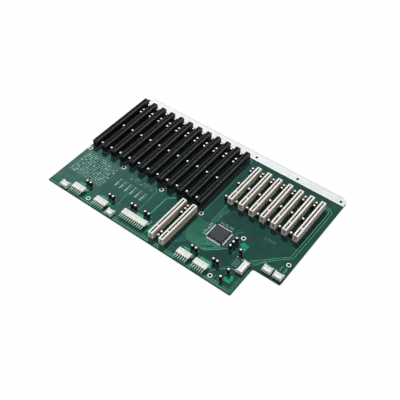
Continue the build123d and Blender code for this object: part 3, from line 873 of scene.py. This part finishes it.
def single_tracks(m):
    """The tracks that show one by one: width, tone and line of points."""
    for width, mat, points in [
        (0.7, "trace", [(-84.2, -72.6), (-80.2, -104.4)]),
        (0.8, "trace", [(-54.2, -35.9), (-49.0, -43.7), (-46.4, -88.3)]),
        (1.4, "trace_bright", [(-12.8, -31.5), (-27.0, -44.3), (-27.2, -84.6)]),
        (0.8, "trace", [(33.6, -27), (33.9, 25.6), (32.5, 104), (30.1, 108.8)]),
        (0.8, "trace", [(27.5, -33), (34, -33.5), (36.6, -30), (36.9, 25.6), (35.5, 106), (32.0, 111.5)]),
        (0.9, "trace_soft", [(57.8, -40), (57.4, -23.3), (57.6, 4.1)]),
        (0.9, "trace_soft", [(65.4, -33), (65.6, -15.6), (67.6, -8.8), (68.5, 3.8)]),
        (0.9, "trace", [(185.9, 97.2), (192.7, 96.4), (198.3, 91.7), (199.3, 87.5), (198.9, 39.5),
                        (197.4, -21.2), (176.6, -42), (166.6, -54.3), (161.6, -61.7), (156.1, -68.3)]),
        (0.9, "trace", [(185.9, 93.3), (191.1, 93.2), (194.5, 90.1), (195.4, 86.6), (194.7, 46.4),
                        (193.5, -20.7), (171.4, -42.4), (155.9, -57.3), (149.5, -64.1)]),
        (1.2, "trace_soft", [(153, -66.4), (158.8, -60.2), (169, -49.5)]),
        (1.1, "trace", [(108.2, -119.9), (114.6, -111), (121.8, -103.1), (135, -91.5), (142.7, -91.1)]),
        (0.8, "trace_soft", [(106.2, -116.2), (112.6, -108.2), (120, -100.3), (132, -89)]),
        (0.8, "trace_soft", [(102.4, -39.7), (101.7, -27.8), (104.9, -22.7)]),
        (0.8, "trace_soft", [(104.4, -38.0), (105.2, -30.5), (110.9, -24.4)]),
        (1.3, "dark_mask_and_painted_shadow", [(74.5, -85.4), (81.0, -83.5), (86.0, -78.0), (88.5, -75.9)]),
        (1.0, "trace", [(77.4, -88.6), (84.0, -86.4), (90.5, -81.5), (99.4, -75.4), (107.3, -66.0)]),
        (1.0, "trace", [(72.0, -81.4), (78.0, -79.0), (82.7, -75.2)]),
        (1.0, "dark_mask_and_painted_shadow", [(57.8, -70.6), (63.5, -69.6)]),
    ]:
        m.ribbon(points, width, TRACK_OVER_Z, mat)
    m.ribbon([(196.8, 90), (197.2, 86), (196.8, 43), (195.4, -21)], 2.2, POUR_Z, "dark_mask_and_painted_shadow")


def fan_out(m):
    """The short strokes round the chip, thickest at its left and rear sides."""
    rng = random.Random(11)
    half = CHIP_SIZE / 2 + 3.4
    for side, count, reach, wide, mat in ((0, 10, 3.5, 0.4, "faint_silk"), (1, 13, 4.5, 0.8, "faint_silk"),
                                          (2, 7, 5.6, 0.9, "silk"), (3, 10, 3.0, 0.5, "faint_silk")):
        for i in range(count):
            t = ((i + 0.5) / count - 0.5) * 25 + rng.uniform(-0.3, 0.3)
            start = half + rng.uniform(0.3, 3.0)
            end = start + rng.uniform(0.6, 1.0) * reach
            line = [(start, t), (end, t + rng.choice((-0.6, 0.0, 0.6)))]
            m.ribbon([at_chip(side, p, q) for p, q in line], wide, PRINT_Z, mat)


def header_pours(m):
    """Pours behind the power headers, with a row of pads, and patches right of the chip and by the notch."""
    for pins, x, inset in POWER:
        half = pins * POWER_STEP / 2
        y = BOARD_FRONT + inset
        m.sheet([(x - 0.75 * half, y + 0.5), (x + half + 1, y + 0.5), (x + half + 1, y + 8.2),
                 (x + 0.4 * half, y + 9.4), (x - 0.75 * half, y + 9.4)], POUR_OVER_Z, "pour_bright")
        if x < 0:
            right = x + half
            m.sheet([(right + 1.5, y + 1), (right + 8, y + 3), (right + 9, y - 14), (right + 4, y - 16)],
                    POUR_OVER_Z, "pour_deep")
            m.ribbon([(right + 6.5, y + 4), (right + 7, y - 9), (right + 4, y - 15)], 1.0, TRACK_Z,
                     "pour_bright")
        for dx in ways(pins, POWER_STEP):
            m.ring(x + dx, y + 1.15, TRACK_Z, 0.6, 1.5, "pad", 16)
    m.sheet([(119.4, -47.6), (121.8, -41.5), (132.6, -42.2), (132.7, -53.1), (131.3, -57.8), (127.3, -54.8)],
            POUR_Z, "pour_bright")
    m.sheet([(110.9, -68.7), (117.3, -68.5), (123.1, -70.7), (122.4, -61.1), (117.7, -61.1)],
            POUR_Z, "pour_deep")
    m.sheet([(135.3, -111.5), (139.1, -104.1), (146, -101), (148.4, -108.1), (147.4, -115.6),
             (138.4, -115.8)], POUR_Z, "pour_bright")
    m.sheet([(161, -56), (166.6, -54.3), (176.6, -42), (172.5, -42)], POUR_Z, "pour")


def build_copper():
    m = Maker("trace", "trace_soft", "trace_bright", "pour", "pour_bright", "pour_deep", "border", "pad",
              "dark_mask_and_painted_shadow", "faint_silk", "silk")
    front_border(m)
    chip_bundle(m)
    single_tracks(m)
    fan_out(m)
    header_pours(m)
    piece("copper_tracks", m, closed=False)


def dash_rows(m, rng, x0, y0, x1, y1, pitch, height, fill=0.85):
    """Rows of short dashes of uneven length, in place of lines of print."""
    y = y1 - pitch
    while y > y0:
        x = x0
        while x < x1 - 1:
            w = rng.uniform(0.9, 2.6)
            if rng.random() < fill:
                m.dash(x, y, min(w, x1 - x), height * rng.uniform(0.6, 1.0), PRINT_Z,
                       rng.choice(("silk", "faint_silk", "faint_silk")))
            x += w + rng.uniform(1.0, 1.9)
        y -= pitch


def frame_line(m, x0, y0, x1, y1, mat="silk"):
    m.ribbon([(x0, y0), (x1, y0), (x1, y1), (x0, y1), (x0, y0)], 0.25, PRINT_Z, mat)


def print_outlines(m):
    """Outlines round slots, power headers and supply capacitors, and a line in front of the last slots."""
    for x in ISA_X:
        frame_line(m, x - 5.2, ISA_FRONT - 0.8, x + 5.2, ISA_REAR + 0.3)
    for x, front in IVORY_SLOTS:
        frame_line(m, x - 4.9, front - 0.8, x + 4.9, front + PCI_LENGTH + 0.8)
    for pins, x, inset in POWER:
        half = pins * POWER_STEP / 2
        y = BOARD_FRONT + inset
        frame_line(m, x - half - 0.8, y - 11.6, x + half + 0.8, y + 7.4)
    for x, y in supply_cap_places():
        m.ring(x, y, PRINT_Z, 3.35, 3.6, "silk", 24)
    m.ribbon([(66, 6.9), (187, 6.9)], 0.3, PRINT_Z, "silk")


def build_print():
    """Generic print: outlines, tick marks and short dashes in rows."""
    rng = random.Random(3)
    m = Maker("silk", "faint_silk")

    def tick(x, y, w, h, mat="faint_silk"):
        m.dash(x, y, w, h, PRINT_Z, mat)

    # The table in front of the first slots, in two blocks of rows
    left, right, front, rear, middle = -197.5, -130.0, -91.0, -40.0, -65.0
    dash_rows(m, rng, left, front, right, middle - 0.5, 4.1, 2.3)
    dash_rows(m, rng, left, middle, right, rear, 4.1, 2.3)
    frame_line(m, left - 1, front - 0.6, right + 1, rear + 1, "faint_silk")
    for share in (0.2, 0.55, 0.8):
        x = left + share * (right - left)
        m.ribbon([(x, front), (x, rear)], 0.25, PRINT_Z, "faint_silk")
    dash_rows(m, rng, -107.5, -49.1, -53.5, -39.1, 3.0, 1.0, 0.6)
    # Six groups of jumper marks, boldest at their front ends
    for x in (-113.0, -103.2, -92.2, -81.5, -70.6, -60.4):
        for k in range(6):
            bold = 1.6 if k < 3 else 1.0
            tick(x, -74 + k * 3.1, bold * rng.uniform(1.2, 1.6), 1.0 + 0.6 * bold, "silk")
            tick(x + 3.4, -73 + k * 3.1, 0.6, rng.uniform(1.4, 2.2))
            tick(x + 5.0, -73.4 + k * 3.1, rng.uniform(0.5, 1.2), 0.8)
    print_outlines(m)
    # Uneven ticks in front of the last slots, and behind the last two signal headers
    for k in range(8):
        tick(143.5 + 2.4 * k, -14.0 + rng.uniform(-0.9, 0.9), rng.uniform(0.6, 1.4), 1.2)
        tick(143.0 + 2.4 * k, -16.8 + rng.uniform(-0.5, 0.5), rng.uniform(0.5, 1.0), 0.9)
        tick(172 + 1.8 * k, -54.6 + rng.uniform(-0.6, 0.6), rng.uniform(0.7, 1.2), 2.2)
    for k in range(5):
        tick(191.6 + rng.uniform(0, 1), -53 + 2.4 * k, rng.uniform(1.4, 3.0), 1.0)
        tick(198.6, -53 + 2.4 * k, rng.uniform(2.0, 4.0), 1.0)
    # The comb of ticks left of the third wafer header
    for k in range(6):
        tick(129.2 + (k % 2), -73.2 - 2.6 * k, 4.6, 0.7)
        tick(135.4, -74.2 - 2.4 * k, 4.2, 0.7)
    m.ribbon([(128.4, -68.3), (141.6, -69.8)], 0.8, PRINT_Z, "silk")
    # Small marks beside the second processor slot and by the front right hole
    for x, y in [(38.4, -118.6), (43.2, -119.6), (39.0, -111.4), (44.4, -114.2), (38.1, -114.6),
                 (123.0, -119.4), (123.8, -115.6), (128.9, -118.2), (129.5, -124.0), (133.8, -123.4)]:
        tick(x - 0.7, y - 0.5, rng.uniform(1.2, 2.0), 1.0)
    piece("board_print", m, closed=False)


# The solids get their looks, by the start of their names

LOOKS = (
    ("main_board", "board"), ("rear_ground_strip", "strip"), ("bridge_chip", "chip"),
    ("isa_slot", "black"), ("pci_slot", "ivory"), ("processor_slot", "ivory"),
    ("power_header_pins", "pin"), ("wafer_header_pins", "pin"),
    ("power_header", "nylon"), ("wafer_header", "wafer"),
    ("slot_capacitors", "sleeve"), ("supply_capacitors", "sleeve"),
)


def dress_nodes():
    for name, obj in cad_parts.items():
        look = next(mat for start, mat in LOOKS if name.startswith(start))
        obj.data.materials.clear()
        obj.data.materials.append(M[look])
        for poly in obj.data.polygons:
            poly.material_index = 0


# Stage, light and camera

def build_floor():
    """A white floor that glows evenly for the camera, apart from the shade close to the object."""
    size = 4.0
    data = bpy.data.meshes.new("floor")
    data.from_pydata([(-size, -size, 0), (size, -size, 0), (size, size, 0), (-size, size, 0)], [],
                     [[0, 1, 2, 3]])
    mat, tree, shader = new_material("floor", 0.9, 0.0, 0.0)
    shader.inputs["Base Color"].default_value = (0.8, 0.8, 0.8, 1)
    glow = tree.nodes.new("ShaderNodeEmission")
    glow.inputs["Strength"].default_value = 1.0
    path = tree.nodes.new("ShaderNodeLightPath")
    open_sky = tree.nodes.new("ShaderNodeAmbientOcclusion")
    open_sky.inputs["Distance"].default_value = 0.004
    clear = ranged(tree, open_sky.outputs["AO"], 0.46, 0.62, 0.0, 0.975)
    seen = math_node(tree, "MULTIPLY", path.outputs["Is Camera Ray"], clear)
    mix = tree.nodes.new("ShaderNodeMixShader")
    tree.links.new(seen, mix.inputs["Fac"])
    tree.links.new(shader.outputs["BSDF"], mix.inputs[1])
    tree.links.new(glow.outputs["Emission"], mix.inputs[2])
    tree.links.new(mix.outputs["Shader"], tree.nodes["Material Output"].inputs["Surface"])
    data.materials.append(mat)
    floor = new_object("floor", data)


def build_world():
    """A white room to look at and to mirror, that lights the object only faintly."""
    world = bpy.data.worlds.new("studio")
    bpy.context.scene.world = world
    world.use_nodes = True
    tree = world.node_tree
    back = tree.nodes["Background"]
    back.inputs["Color"].default_value = (1, 1, 1, 1)
    path = tree.nodes.new("ShaderNodeLightPath")
    shown = math_node(tree, "MAXIMUM", path.outputs["Is Camera Ray"], path.outputs["Is Transmission Ray"])
    shown = math_node(tree, "MAXIMUM", shown, path.outputs["Is Glossy Ray"])
    tree.links.new(ranged(tree, shown, 0.0, 1.0, 0.15), back.inputs["Strength"])


def build_suns():
    """The key light from the rear left, and a soft low fill from the front right."""
    for name, energy, spread, direction in (("key", 3.6, 4, (-0.60, 0.78, 1.0)),
                                            ("fill", 0.68, 24, (0.60, -0.72, 0.34))):
        sun_data = bpy.data.lights.new(name, "SUN")
        sun_data.energy = energy
        sun_data.angle = math.radians(spread)
        sun = new_object(name, sun_data)
        sun.rotation_euler = Vector(direction).normalized().to_track_quat("Z", "Y").to_euler()
        sun.visible_glossy = False


def build_camera():
    azimuth, elevation, roll = (math.radians(v) for v in (36.896, 49.096, 0.632))
    back = Vector((math.sin(azimuth) * math.cos(elevation), -math.cos(azimuth) * math.cos(elevation),
                   math.sin(elevation)))
    right = Vector((math.cos(azimuth), math.sin(azimuth), 0))
    up = back.cross(right)
    right, up = (right * math.cos(roll) + up * math.sin(roll), up * math.cos(roll) - right * math.sin(roll))
    matrix = Matrix((right, up, back)).transposed().to_4x4()
    matrix.translation = Vector((430.66, -564.58, 797.90)) * MM
    data = bpy.data.cameras.new("camera")
    data.lens = 59.02
    data.sensor_width = 36.0
    camera = new_object("camera", data)
    camera.matrix_world = matrix
    bpy.context.scene.camera = camera


dress_nodes()
build_slots()
build_tails()
build_caps()
build_chip_body()
build_chip_leads()
build_power_headers()
build_wafers()
build_holes()
build_strip()
build_copper()
build_print()
build_floor()
build_world()
build_suns()
build_camera()
bpy.context.scene.view_settings.view_transform = "Standard"
